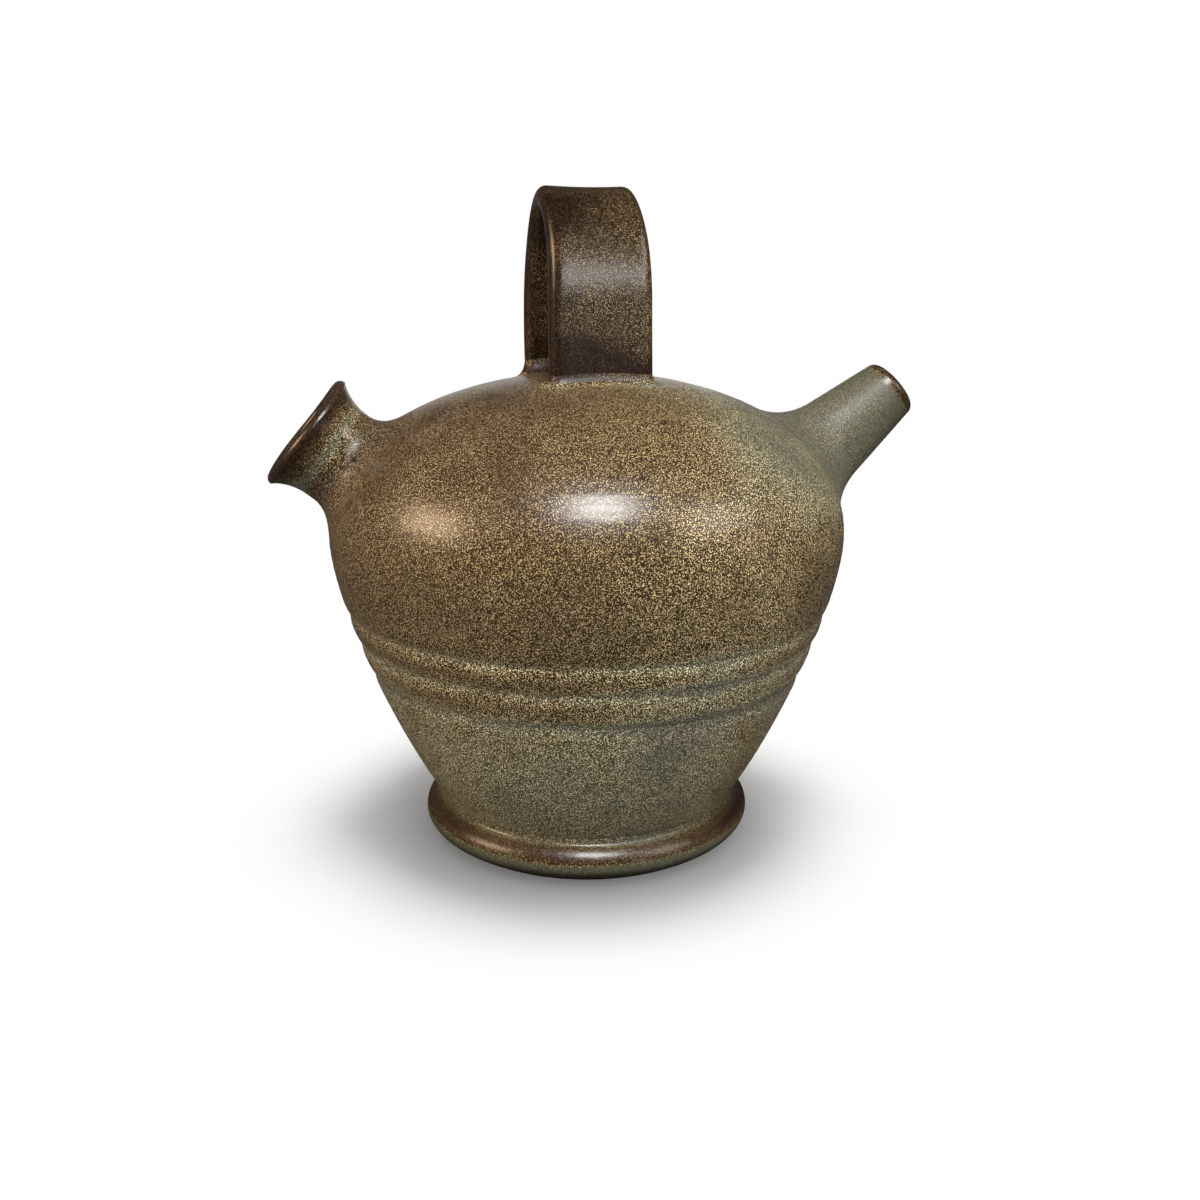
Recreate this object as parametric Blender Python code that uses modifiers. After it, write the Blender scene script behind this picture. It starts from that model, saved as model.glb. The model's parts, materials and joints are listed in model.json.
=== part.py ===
"""Ring-handled water jug: a thrown stoneware belly with a foot ring, a filling mouth, a drinking
spout and a strap handle, luted together with coils of clay.

Units are metres. The wheel's axis is Z and the table is z = 0. The mouth points to -X, the spout
to +X, and the handle arches from the front (-Y) to the rear (+Y).
"""

import math

import bmesh
import bpy
from mathutils import Matrix, Vector

# Gap between pieces that touch
CLEARANCE = 0.0003

# Body: the outline runs up from the waist above the foot, out to the belly and in to the closed crown
BELLY_RADIUS = 0.095
BELLY_HEIGHT = 0.117
DOME_RISE = 0.0577
WAIST_RADIUS = 0.0553
WAIST_HEIGHT = 0.0143
WAIST_LEAN = math.radians(36.0)
WAIST_FULLNESS = 0.0288
BELLY_FULLNESS = 0.0225
SHOULDER_FULLNESS = 0.0395
CROWN_FULLNESS = 0.046
WALL = 0.006
FLOOR = 0.008
FLOOR_COVE = 0.012

# Throwing lines: sharp rings left by the potter's rib, between shallow swellings, as drops from the belly
THROWING_LINE_DROPS = (0.0267, 0.0375, 0.0498)
THROWING_LINE_DEPTH = 0.0011
THROWING_LINE_SPREAD = 0.005

# Foot ring: a roll round the base, smoothed up into the wall by a cove and undercut below
FOOT_ROLL = 0.0078
FOOT_BULGE_HEIGHT = 0.0074
FOOT_UNDERCUT = 0.0075
COVE_RISE = 0.003
COVE_REACH = 0.0031
COVE_SLOPE = math.radians(25.0)
BASE_TAPER = 0.0033

# Filling mouth: its axis crosses the wheel's axis below the belly and rises to the lip
MOUTH_ELEVATION = math.radians(39.0)
MOUTH_AXIS_DROP = 0.0433
LIP_RADIUS = 0.0223
LIP_ROUND = 0.0023
NECK_RADIUS = 0.0178
NECK_LENGTH = 0.0065
FLARE_LENGTH = 0.0137
MOUTH_BORE = 0.013

# Drinking spout
SPOUT_ELEVATION = math.radians(39.3)
SPOUT_AXIS_DROP = 0.0462
SPOUT_LENGTH = 0.0414
SPOUT_TIP_RADIUS = 0.0112
SPOUT_ROOT_RADIUS = 0.0173
SPOUT_TIP_ROUND = 0.003
SPOUT_TIP_BORE = 0.005
SPOUT_ROOT_BORE = 0.0095

# Handle: a pulled strap, two straight legs under an arch, a little askew to the mouth and spout. It narrows
# towards its crest, which leans a little to the mouth's side.
HANDLE_WIDTH = 0.0365
HANDLE_CREST_WIDTH = 0.0335
HANDLE_LEAN = 0.0013
HANDLE_THICKNESS = 0.0085
HANDLE_EDGE_ROUND = 0.0036
HANDLE_SPAN = 0.051
HANDLE_RISE = 0.0642
ARCH_RISE = 0.035
HANDLE_TURN = math.radians(4.0)

# Luting: how far each coil rises up its root and reaches out over the shoulder, and how hollow it is.
# The coils and the foot's cove end in a thin blunt edge.
MOUTH_LUTING_RISE = 0.0065
MOUTH_LUTING_REACH = 0.0085
SPOUT_LUTING_RISE = 0.012
SPOUT_LUTING_REACH = 0.012
HANDLE_LUTING_RISE = 0.0045
HANDLE_LUTING_REACH = 0.0035
LUTING_EDGE = 0.0004
LUTING_HOLLOW = 0.62

# Facet counts
WHEEL_STEPS = 56
TUBE_STEPS = 32
DOME_POINTS = 12
WALL_POINTS = 13
CAVITY_POINTS = 8
CURVE_POINTS = 5
ARCH_POINTS = 18
STRAP_SIDE_POINTS = 6

# Colours of the speckled glaze, from the reddish strap to the grey-green pools in the corners
GLAZE_COLOURS = {
    "body": (0.27, 0.17, 0.075),
    "foot_ring": (0.17, 0.13, 0.065),
    "filling_mouth": (0.25, 0.16, 0.07),
    "drinking_spout": (0.29, 0.21, 0.10),
    "handle": (0.23, 0.15, 0.065),
    "mouth_luting": (0.26, 0.21, 0.11),
    "spout_luting": (0.28, 0.23, 0.12),
    "handle_front_luting": (0.30, 0.24, 0.13),
    "handle_rear_luting": (0.30, 0.24, 0.13),
}
GLAZE_ROUGHNESS = 0.3

# Heights and radii that follow from the sizes above
CROWN_HEIGHT = BELLY_HEIGHT + DOME_RISE
BASE_RADIUS = WAIST_RADIUS - BASE_TAPER
HANDLE_HALF_SPAN = (HANDLE_SPAN - HANDLE_THICKNESS) / 2
HANDLE_TOP = CROWN_HEIGHT + HANDLE_RISE
WAIST_PULL = (WAIST_FULLNESS * math.sin(WAIST_LEAN), WAIST_FULLNESS * math.cos(WAIST_LEAN))
WALL_SPAN = (
    (WAIST_RADIUS, WAIST_HEIGHT),
    (WAIST_RADIUS + WAIST_PULL[0], WAIST_HEIGHT + WAIST_PULL[1]),
    (BELLY_RADIUS, BELLY_HEIGHT - BELLY_FULLNESS),
    (BELLY_RADIUS, BELLY_HEIGHT),
)
DOME_SPAN = (
    (BELLY_RADIUS, BELLY_HEIGHT),
    (BELLY_RADIUS, BELLY_HEIGHT + SHOULDER_FULLNESS),
    (CROWN_FULLNESS, CROWN_HEIGHT),
    (0.0, CROWN_HEIGHT),
)


def curve_point(span, t):
    """The point of a cubic Bezier span at t, from 0 to 1."""
    points = [Vector(corner) for corner in span]
    while len(points) > 1:
        points = [first.lerp(second, t) for first, second in zip(points, points[1:])]
    return points[0]


def curve_normal(span, t):
    """The normal to the right of the span's direction of travel, which is outward on a rising outline."""
    step = 1e-4
    travel = curve_point(span, min(t + step, 1.0)) - curve_point(span, max(t - step, 0.0))
    return Vector((travel.y, -travel.x)).normalized()


def curve_points(span, count):
    """Points spaced evenly in t along a span, ends included."""
    return [curve_point(span, index / (count - 1)) for index in range(count)]


def offset_points(span, count, distance):
    """Points of a span moved along its normals."""
    places = [index / (count - 1) for index in range(count)]
    return [curve_point(span, t) + curve_normal(span, t) * distance for t in places]


def arc_points(centre, radius, start, end, count):
    """Points on an arc from one angle to another, in degrees."""
    angles = [math.radians(start + (end - start) * index / (count - 1)) for index in range(count)]
    return [Vector((centre[0] + radius * math.cos(a), centre[1] + radius * math.sin(a))) for a in angles]


def bisect(is_before, low, high):
    """The value between low and high where is_before turns from true to false."""
    for _ in range(40):
        middle = (low + high) / 2
        if is_before(middle):
            low = middle
        else:
            high = middle
    return (low + high) / 2


def outline_at(height):
    """Radius and outward normal of the body's outline at a height above the foot."""
    span = DOME_SPAN if height >= BELLY_HEIGHT else WALL_SPAN
    t = bisect(lambda value: curve_point(span, value).y < height, 0.0, 1.0)
    return curve_point(span, t).x, curve_normal(span, t)


def throwing_line_cut(height):
    """How far the wall is drawn in at a height: a cusp at each throwing line, easing out on both sides."""
    depth = 0.0
    for drop in THROWING_LINE_DROPS:
        nearness = 1.0 - abs(BELLY_HEIGHT - drop - height) / THROWING_LINE_SPREAD
        depth = max(depth, THROWING_LINE_DEPTH * max(nearness, 0.0) ** 2)
    return depth


def is_outside(point):
    """Whether a point lies outside the body's outline."""
    if point.z >= CROWN_HEIGHT:
        return True
    return point.to_2d().length > outline_at(point.z)[0]


def shoulder_hit(start, along):
    """Where a line meets the body, kept clear of its surface by the clearance."""
    reach = bisect(lambda distance: is_outside(start + along * distance), 0.0, BELLY_RADIUS)
    hit = start + along * reach
    _, normal = outline_at(min(hit.z, CROWN_HEIGHT))
    radial = Vector((hit.x, hit.y, 0.0)).normalized()
    outward = radial * normal.x + Vector((0.0, 0.0, normal.y))
    return hit + outward * CLEARANCE


def tube_frame(axis_height, elevation, side):
    """Frame with its origin where a tube's axis meets the body's outline, and its Z outwards."""
    axis = Vector((side * math.cos(elevation), 0.0, math.sin(elevation)))
    foot = Vector((0.0, 0.0, axis_height))
    root = bisect(lambda distance: not is_outside(foot + axis * distance), 0.0, 2 * BELLY_RADIUS)
    tilt = Matrix.Rotation(side * (math.pi / 2 - elevation), 4, "Y")
    return Matrix.Translation(foot + axis * root) @ tilt


MOUTH_FRAME = tube_frame(BELLY_HEIGHT - MOUTH_AXIS_DROP, MOUTH_ELEVATION, -1)
SPOUT_FRAME = tube_frame(BELLY_HEIGHT - SPOUT_AXIS_DROP, SPOUT_ELEVATION, 1)


def clear_scene():
    """Remove what the scene holds and make the collections for the jug and for its cutters."""
    for item in list(bpy.data.objects):
        bpy.data.objects.remove(item, do_unlink=True)
    made = []
    for name in ("ring_handled_water_jug", "cutters"):
        collection = bpy.data.collections.new(name)
        bpy.context.scene.collection.children.link(collection)
        made.append(collection)
    return made


PIECES, CUTTERS = clear_scene()
STAND = bpy.data.objects.new("wheel_centre", None)
PIECES.objects.link(STAND)


def glaze(name):
    """A piece's own glaze."""
    material = bpy.data.materials.new(name + "_glaze")
    material.use_nodes = True
    shader = material.node_tree.nodes["Principled BSDF"]
    shader.inputs["Base Color"].default_value = (*GLAZE_COLOURS[name], 1.0)
    shader.inputs["Roughness"].default_value = GLAZE_ROUGHNESS
    shader.inputs["Metallic"].default_value = 0.0
    return material


def add_piece(name, mesh, frame=None):
    """Link a mesh as a named piece of the jug, at its frame, with its glaze."""
    piece = bpy.data.objects.new(name, mesh)
    PIECES.objects.link(piece)
    piece.parent = STAND
    if frame is not None:
        piece.matrix_world = frame
    mesh.materials.append(glaze(name))
    return piece


def add_cutter(name, mesh, frame=None):
    """Link a mesh as a cutter, which is not part of the jug."""
    cutter = bpy.data.objects.new(name, mesh)
    CUTTERS.objects.link(cutter)
    if frame is not None:
        cutter.matrix_world = frame
    cutter.hide_render = True
    cutter.display_type = "WIRE"
    return cutter


def profile_mesh(name, points, closed):
    """A profile in the XZ plane, as edges."""
    mesh = bpy.data.meshes.new(name)
    count = len(points)
    edges = [(index, index + 1) for index in range(count - 1)]
    if closed:
        edges.append((count - 1, 0))
    mesh.from_pydata([(point[0], 0.0, point[1]) for point in points], edges, [])
    return mesh


def turn(item, steps):
    """Turn a profile round its object's Z axis, as on the wheel."""
    screw = item.modifiers.new("Turn", "SCREW")
    screw.axis = "Z"
    screw.steps = steps
    screw.render_steps = steps
    screw.use_merge_vertices = True
    screw.merge_threshold = 0.00001
    screw.use_smooth_shade = True
    return item


def cut(item, cutter):
    """Take a cutter's shape out of a piece."""
    boolean = item.modifiers.new("Cut " + cutter.name, "BOOLEAN")
    boolean.operation = "DIFFERENCE"
    boolean.solver = "EXACT"
    boolean.object = cutter


def wall_heights():
    """Heights of the wall's rings from the belly down to the waist, closer at the throwing lines."""
    spacing = (BELLY_HEIGHT - WAIST_HEIGHT) / WALL_POINTS
    lines = [BELLY_HEIGHT - drop for drop in THROWING_LINE_DROPS]
    even = [BELLY_HEIGHT - spacing * index for index in range(1, WALL_POINTS)]
    heights = [z for z in even if all(abs(z - line) > THROWING_LINE_SPREAD for line in lines)]
    for line in lines:
        heights += [line + THROWING_LINE_SPREAD * share for share in (-0.95, -0.35, 0.0, 0.35, 0.95)]
    return sorted(heights, reverse=True)


def cavity_points():
    """The hollow's outline: the wall set in from the outside, rounded into the floor."""
    dome = offset_points(DOME_SPAN, CAVITY_POINTS, -WALL)
    wall = offset_points(WALL_SPAN, CAVITY_POINTS, -WALL)
    corner = wall[0]
    down = (curve_point(WALL_SPAN, 0.0) - curve_point(WALL_SPAN, 0.1)).normalized()
    floor_edge = Vector((corner.x - FLOOR_COVE, FLOOR))
    cove = (corner, corner + down * FLOOR_COVE / 2, floor_edge + Vector((FLOOR_COVE / 2, 0.0)), floor_edge)
    crown = Vector((0.0, CROWN_HEIGHT - WALL))
    centre = Vector((0.0, FLOOR))
    return [crown] + dome[-2:0:-1] + wall[::-1] + curve_points(cove, CURVE_POINTS)[1:] + [centre]


def tube_bore(name, radius, frame):
    """A cutter along a tube's axis, through the wall only."""
    top = 2 * WALL
    bottom = -3 * WALL
    points = [(0.0, top), (radius, top), (radius, bottom), (0.0, bottom)]
    return turn(add_cutter(name, profile_mesh(name, points, False), frame), TUBE_STEPS)


def make_body():
    """The belly: turned outside, hollowed, and pierced under the mouth and the spout."""
    dome = curve_points(DOME_SPAN, DOME_POINTS)[::-1]
    wall = [(outline_at(z)[0] - throwing_line_cut(z), z) for z in wall_heights()]
    base = [(WAIST_RADIUS, WAIST_HEIGHT), (BASE_RADIUS, 0.0), (0.0, 0.0)]
    body = turn(add_piece("body", profile_mesh("body", dome + wall + base, False)), WHEEL_STEPS)
    cavity = add_cutter("belly_cavity", profile_mesh("belly_cavity", cavity_points(), False))
    cut(body, turn(cavity, WHEEL_STEPS))
    cut(body, tube_bore("mouth_hole", MOUTH_BORE, MOUTH_FRAME))
    cut(body, tube_bore("spout_hole", SPOUT_ROOT_BORE, SPOUT_FRAME))


def make_shoulder_blank():
    """The body's outside grown by the clearance, which trims what is luted on to it."""
    crown = Vector((0.0, CROWN_HEIGHT + CLEARANCE))
    dome = offset_points(DOME_SPAN, 2 * DOME_POINTS, CLEARANCE)[-2::-1]
    wall = offset_points(WALL_SPAN, WALL_POINTS, CLEARANCE)[-2::-1]
    points = [crown] + dome + wall + [(0.0, wall[-1].y)]
    return turn(add_cutter("shoulder_blank", profile_mesh("shoulder_blank", points, False)), WHEEL_STEPS)


def make_foot_ring():
    """The ring round the base: a cove down the wall, the roll, the undercut, and up beside the body."""
    brim_height = WAIST_HEIGHT + COVE_RISE
    brim_radius, wall_normal = outline_at(brim_height)
    taper_normal = Vector((WAIST_HEIGHT, -BASE_TAPER)).normalized()
    brim = Vector((brim_radius, brim_height)) + wall_normal * CLEARANCE
    waist = Vector((WAIST_RADIUS, WAIST_HEIGHT)) + (wall_normal + taper_normal).normalized() * CLEARANCE
    edge = brim + wall_normal * LUTING_EDGE
    ledge = Vector((WAIST_RADIUS + COVE_REACH, WAIST_HEIGHT))
    bulge = Vector((WAIST_RADIUS + FOOT_ROLL, FOOT_BULGE_HEIGHT))
    ground = Vector((bulge.x - FOOT_UNDERCUT, 0.0))
    down_wall = Vector((wall_normal.y, -wall_normal.x))
    outward = Vector((math.cos(COVE_SLOPE), -math.sin(COVE_SLOPE)))
    roll_pull = (bulge.x - ledge.x) / 3
    cove = (edge, edge + down_wall * COVE_REACH * 0.4, ledge - outward * COVE_REACH * 0.4, ledge)
    roll = (ledge, ledge + outward * roll_pull, bulge + Vector((0.0, (ledge.y - bulge.y) / 2)), bulge)
    tuck = (bulge, (bulge.x, bulge.y / 2), (ground.x + FOOT_UNDERCUT / 3, bulge.y / 4), ground)
    points = curve_points(cove, CURVE_POINTS)
    points += curve_points(roll, CURVE_POINTS)[1:]
    points += curve_points(tuck, CURVE_POINTS)[1:]
    points += [(BASE_RADIUS + CLEARANCE, 0.0), waist, brim]
    turn(add_piece("foot_ring", profile_mesh("foot_ring", points, True)), WHEEL_STEPS)


def make_filling_mouth(blank):
    """The mouth: a rounded lip, a flare down to the neck, and a bore that follows it through the root."""
    lip = NECK_LENGTH + FLARE_LENGTH
    shoulder = lip - LIP_ROUND
    root = -WALL
    bead = (LIP_RADIUS - LIP_ROUND, shoulder)
    throat = LIP_RADIUS - 2 * LIP_ROUND
    drop = (LIP_RADIUS - NECK_RADIUS) / 2
    neck_pull = NECK_LENGTH + FLARE_LENGTH / 3
    flare = ((LIP_RADIUS, shoulder), (LIP_RADIUS - drop, shoulder - drop),
             (NECK_RADIUS, neck_pull), (NECK_RADIUS, NECK_LENGTH))
    inside = ((MOUTH_BORE, NECK_LENGTH), (MOUTH_BORE, neck_pull),
              (throat - drop / 2, shoulder - drop), (throat, shoulder))
    points = arc_points(bead, LIP_ROUND, 90, 0, CURVE_POINTS)
    points += curve_points(flare, CURVE_POINTS + 1)[1:]
    points += [(NECK_RADIUS, root), (MOUTH_BORE, root)]
    points += curve_points(inside, CURVE_POINTS + 1)
    points += arc_points(bead, LIP_ROUND, 180, 90, CURVE_POINTS)[1:-1]
    mesh = profile_mesh("filling_mouth", points, True)
    cut(turn(add_piece("filling_mouth", mesh, MOUTH_FRAME), TUBE_STEPS), blank)


def spout_radius(height):
    """Outer radius of the spout's taper at a height above the wall along its axis."""
    return SPOUT_ROOT_RADIUS + (SPOUT_TIP_RADIUS - SPOUT_ROOT_RADIUS) * height / SPOUT_LENGTH


def make_drinking_spout(blank):
    """The spout: a taper with a rounded tip and a narrow bore that widens towards the belly."""
    round_height = SPOUT_LENGTH - SPOUT_TIP_ROUND
    root = -WALL
    edge = (spout_radius(round_height) - SPOUT_TIP_ROUND, round_height)
    points = arc_points(edge, SPOUT_TIP_ROUND, 90, 0, CURVE_POINTS)
    points += [(spout_radius(SPOUT_LENGTH / 2), SPOUT_LENGTH / 2), (spout_radius(root), root)]
    points += [(SPOUT_ROOT_BORE, root), (SPOUT_ROOT_BORE, 0.0)]
    points += [(SPOUT_TIP_BORE, round_height), (SPOUT_TIP_BORE, SPOUT_LENGTH)]
    mesh = profile_mesh("drinking_spout", points, True)
    cut(turn(add_piece("drinking_spout", mesh, SPOUT_FRAME), TUBE_STEPS), blank)


def strap_section():
    """The strap's rounded section: points across and through it, each with its outward normal."""
    half_width = HANDLE_WIDTH / 2 - HANDLE_EDGE_ROUND
    half_thickness = HANDLE_THICKNESS / 2 - HANDLE_EDGE_ROUND
    section = []
    for quarter, (side, face) in enumerate(((1, 1), (-1, 1), (-1, -1), (1, -1))):
        centre = Vector((side * half_width, face * half_thickness))
        for point in arc_points((0.0, 0.0), 1.0, 90 * quarter, 90 * quarter + 90, CURVE_POINTS):
            section.append((centre + point * HANDLE_EDGE_ROUND, point))
        if quarter in (0, 2):
            for index in range(1, STRAP_SIDE_POINTS):
                across = side * half_width * (1 - 2 * index / STRAP_SIDE_POINTS)
                section.append((Vector((across, face * HANDLE_THICKNESS / 2)), Vector((0.0, face))))
    return section


def poly_curve(name, points, cyclic, dimensions):
    """A curve object through points, as straight steps."""
    curve = bpy.data.curves.new(name, "CURVE")
    curve.dimensions = dimensions
    spline = curve.splines.new("POLY")
    spline.points.add(len(points) - 1)
    for spot, point in zip(spline.points, points):
        spot.co = (*point, 0.0, 1.0)
    spline.use_cyclic_u = cyclic
    item = bpy.data.objects.new(name, curve)
    CUTTERS.objects.link(item)
    return item


def handle_path():
    """The strap's middle line in its own plane: up one leg, over the arch and down the other."""
    spring = HANDLE_TOP - HANDLE_THICKNESS / 2 - ARCH_RISE
    sunk = CROWN_HEIGHT - 2 * HANDLE_THICKNESS
    arch = []
    for index in range(ARCH_POINTS + 1):
        angle = math.pi * index / ARCH_POINTS
        arch.append((-HANDLE_HALF_SPAN * math.cos(angle), spring + ARCH_RISE * math.sin(angle)))
    return [(-HANDLE_HALF_SPAN, sunk)] + arch + [(HANDLE_HALF_SPAN, sunk)]


def strap_share(height):
    """How far up the handle a height is, from 0 below the luting to 1 at the crest, easing in."""
    root = CROWN_HEIGHT + HANDLE_LUTING_RISE
    return max(height - root, 0.0) ** 2 / (HANDLE_TOP - root) ** 2


def make_handle(blank):
    """The strap: its section swept along the arch, made a mesh, drawn narrower up to the crest, and trimmed
    to sit on the crown."""
    outline = [(point.y, point.x) for point, _ in strap_section()]
    section = poly_curve("strap_section", outline, True, "2D")
    path = poly_curve("strap_path", handle_path(), False, "2D")
    path.data.bevel_mode = "OBJECT"
    path.data.bevel_object = section
    path.data.use_fill_caps = True
    upright = Matrix(((0, 0, 1, 0), (1, 0, 0, 0), (0, 1, 0, 0), (0, 0, 0, 1)))
    path.matrix_world = Matrix.Rotation(HANDLE_TURN, 4, "Z") @ upright
    bpy.context.view_layer.update()
    swept = path.evaluated_get(bpy.context.evaluated_depsgraph_get())
    mesh = bpy.data.meshes.new_from_object(swept)
    weld = bmesh.new()
    weld.from_mesh(mesh)
    bmesh.ops.remove_doubles(weld, verts=weld.verts, dist=0.00001)
    bmesh.ops.recalc_face_normals(weld, faces=weld.faces)
    for corner in weld.verts:
        share = strap_share(corner.co.y)
        corner.co.z *= 1 - (1 - HANDLE_CREST_WIDTH / HANDLE_WIDTH) * share
        corner.co.z -= HANDLE_LEAN * share
    weld.to_mesh(mesh)
    weld.free()
    mesh.shade_smooth()
    mesh.set_sharp_from_angle(angle=math.radians(40))
    frame = path.matrix_world.copy()
    bpy.data.objects.remove(path)
    bpy.data.objects.remove(section)
    cut(add_piece("handle", mesh, frame), blank)


def tube_rim(frame, height, root_radius, rim_radius):
    """Lines down a tube's outside from a height above the wall, each with its outward normal."""
    slope = Vector((root_radius - rim_radius, -height)).normalized()
    rim = []
    for index in range(TUBE_STEPS):
        angle = 2 * math.pi * index / TUBE_STEPS
        radial = Vector((math.cos(angle), math.sin(angle), 0.0))
        start = frame @ (radial * rim_radius + Vector((0.0, 0.0, height)))
        along = frame.to_3x3() @ (radial * slope.x + Vector((0.0, 0.0, slope.y)))
        outward = frame.to_3x3() @ (radial * -slope.y + Vector((0.0, 0.0, slope.x)))
        rim.append((start, along, outward))
    return rim


def strap_rim(side):
    """Lines down one leg of the handle, each with its outward normal."""
    turned = Matrix.Rotation(HANDLE_TURN, 3, "Z")
    top = CROWN_HEIGHT + HANDLE_LUTING_RISE
    down = Vector((0.0, 0.0, -1.0))
    rim = []
    for point, normal in strap_section():
        start = turned @ Vector((point.x, side * HANDLE_HALF_SPAN + point.y, top))
        rim.append((start, down, turned @ Vector((normal.x, normal.y, 0.0))))
    return rim


def make_luting(name, rim, rise, reach):
    """A coil smoothed into the corner between a root and the shoulder: at each line of the rim, a hollow
    curve from the root's side to the shoulder, closed along the root and the shoulder behind it."""
    sections = []
    for start, along, outward in rim:
        seat = start + outward * CLEARANCE
        steps = [seat + outward * reach * share for share in (0.0, 0.5, 1.0)]
        corner, middle, toe = [shoulder_hit(step, along) for step in steps]
        top = corner - along * rise
        bend = corner + (outward - along) * LUTING_EDGE
        crest = top + outward * LUTING_EDGE
        skirt = toe - along * LUTING_EDGE
        hollow = (crest, crest.lerp(bend, LUTING_HOLLOW), skirt.lerp(bend, LUTING_HOLLOW), skirt)
        sections.append([top] + curve_points(hollow, CURVE_POINTS + 1) + [toe, middle, corner])
    count = len(sections)
    depth = len(sections[0])
    faces = []
    for ring in range(count):
        here = ring * depth
        after = (ring + 1) % count * depth
        for row in range(depth):
            below = (row + 1) % depth
            faces.append((here + row, here + below, after + below, after + row))
    mesh = bpy.data.meshes.new(name)
    mesh.from_pydata([point for section in sections for point in section], [], faces)
    mesh.shade_smooth()
    mesh.set_sharp_from_angle(angle=math.radians(50))
    add_piece(name, mesh)


def make_jug():
    """Throw, trim and lute the jug's pieces."""
    make_body()
    make_foot_ring()
    blank = make_shoulder_blank()
    make_filling_mouth(blank)
    make_drinking_spout(blank)
    make_handle(blank)
    neck = min(MOUTH_LUTING_RISE, NECK_LENGTH)
    make_luting("mouth_luting", tube_rim(MOUTH_FRAME, NECK_LENGTH, NECK_RADIUS, NECK_RADIUS),
                neck, MOUTH_LUTING_REACH)
    spout_rim = tube_rim(SPOUT_FRAME, SPOUT_LENGTH / 2, SPOUT_ROOT_RADIUS, spout_radius(SPOUT_LENGTH / 2))
    make_luting("spout_luting", spout_rim, SPOUT_LUTING_RISE, SPOUT_LUTING_REACH)
    make_luting("handle_front_luting", strap_rim(-1), HANDLE_LUTING_RISE, HANDLE_LUTING_REACH)
    make_luting("handle_rear_luting", strap_rim(1), HANDLE_LUTING_RISE, HANDLE_LUTING_REACH)


make_jug()
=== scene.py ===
# %% [markdown]
# # A ring-handled water jug in speckled stoneware
#
# The jug is thrown on the wheel and closed over at the top. A flared mouth fills it, a narrow spout
# pours a thin stream to drink from, and a pulled strap arches over the crown to carry it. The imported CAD
# model fixes the size and the place of every piece. Here each piece is made again as a finer surface
# that shows the hand at work, under a glaze whose colour follows how thickly it lies.

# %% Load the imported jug
import json

import bpy
import numpy as np
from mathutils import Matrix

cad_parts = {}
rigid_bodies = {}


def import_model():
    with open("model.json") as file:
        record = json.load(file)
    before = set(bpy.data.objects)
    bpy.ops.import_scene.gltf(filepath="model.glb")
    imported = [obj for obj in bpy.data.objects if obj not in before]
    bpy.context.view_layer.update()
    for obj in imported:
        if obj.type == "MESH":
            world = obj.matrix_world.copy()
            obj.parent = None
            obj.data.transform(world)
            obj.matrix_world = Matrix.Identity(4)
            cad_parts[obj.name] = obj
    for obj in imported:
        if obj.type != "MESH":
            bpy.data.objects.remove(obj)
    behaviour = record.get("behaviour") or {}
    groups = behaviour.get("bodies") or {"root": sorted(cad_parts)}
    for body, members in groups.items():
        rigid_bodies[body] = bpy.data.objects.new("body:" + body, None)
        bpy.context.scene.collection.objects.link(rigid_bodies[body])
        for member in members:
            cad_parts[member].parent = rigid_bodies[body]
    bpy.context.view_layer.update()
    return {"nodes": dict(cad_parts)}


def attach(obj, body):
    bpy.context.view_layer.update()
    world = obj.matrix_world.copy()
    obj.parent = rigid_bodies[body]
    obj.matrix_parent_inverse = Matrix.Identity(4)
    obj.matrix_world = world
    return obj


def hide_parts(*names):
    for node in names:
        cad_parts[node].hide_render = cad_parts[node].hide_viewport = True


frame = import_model()
print("CAD nodes:", ", ".join(sorted(frame["nodes"])))

# %% [markdown]
# ## The thrown outline
#
# Everything on a wheel starts from one line: the outline of the pot, turned about the wheel's axis. It
# could be traced as many short segments, but a potter sees two sweeps, from the waist out to the belly
# and from the belly in to the crown, and two cubic Bezier curves say just that. All shapes below are in
# millimetres, with z = 0 on the table, and a table of the outline by distance along it serves every piece.


# %% Outline of the body
def bezier(corners, steps):
    """Points of a cubic Bezier curve: for t from 0 to 1, the four corners weighted by (1-t)^3,
    3t(1-t)^2, 3t^2(1-t) and t^3."""
    t = np.linspace(0.0, 1.0, steps)[:, None]
    first, second, third, last = np.array(corners, float)
    return (1 - t) ** 3 * first + 3 * t * (1 - t) ** 2 * second + 3 * t**2 * (1 - t) * third + t**3 * last


BASE_RADIUS = 52.0
WAIST = (55.3, 14.3)
BELLY = (95.0, 117.0)
CROWN = (0.0, 174.7)

taper = np.linspace((BASE_RADIUS, 0.0), WAIST, 60)
wall = bezier([WAIST, (72.2, 37.6), (95.0, 94.5), BELLY], 1600)
dome = bezier([BELLY, (95.0, 156.5), (46.0, 174.7), CROWN], 1600)
outline = np.vstack([taper, wall[1:], dome[1:]])
along = np.concatenate([[0.0], np.cumsum(np.linalg.norm(np.diff(outline, axis=0), axis=1))])
heading = np.gradient(outline, along, axis=0)
heading /= np.linalg.norm(heading, axis=1)[:, None]
outward = np.stack([heading[:, 1], -heading[:, 0]], axis=1)


def on_outline(s):
    """Radius and height at distance s along the outline, and the outward normal there, from the table."""
    point = np.stack([np.interp(s, along, outline[:, k]) for k in (0, 1)], axis=-1)
    normal = np.stack([np.interp(s, along, outward[:, k]) for k in (0, 1)], axis=-1)
    return point, normal


print("outline: %.0f mm from the base's edge to the crown" % along[-1])

# %% [markdown]
# ## Marks of the hand
#
# A perfect turned surface looks machined. The real wall is a few tenths of a millimetre out of round, has
# faint finger rings, and three lines where the potter's rib was pressed in below the belly. Noise
# displacement could do it, but the lines have to run round the pot and close up, so the wall's swell is
# a sum of waves in the wheel's angle, less the three rounded V-shaped lines.

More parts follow.
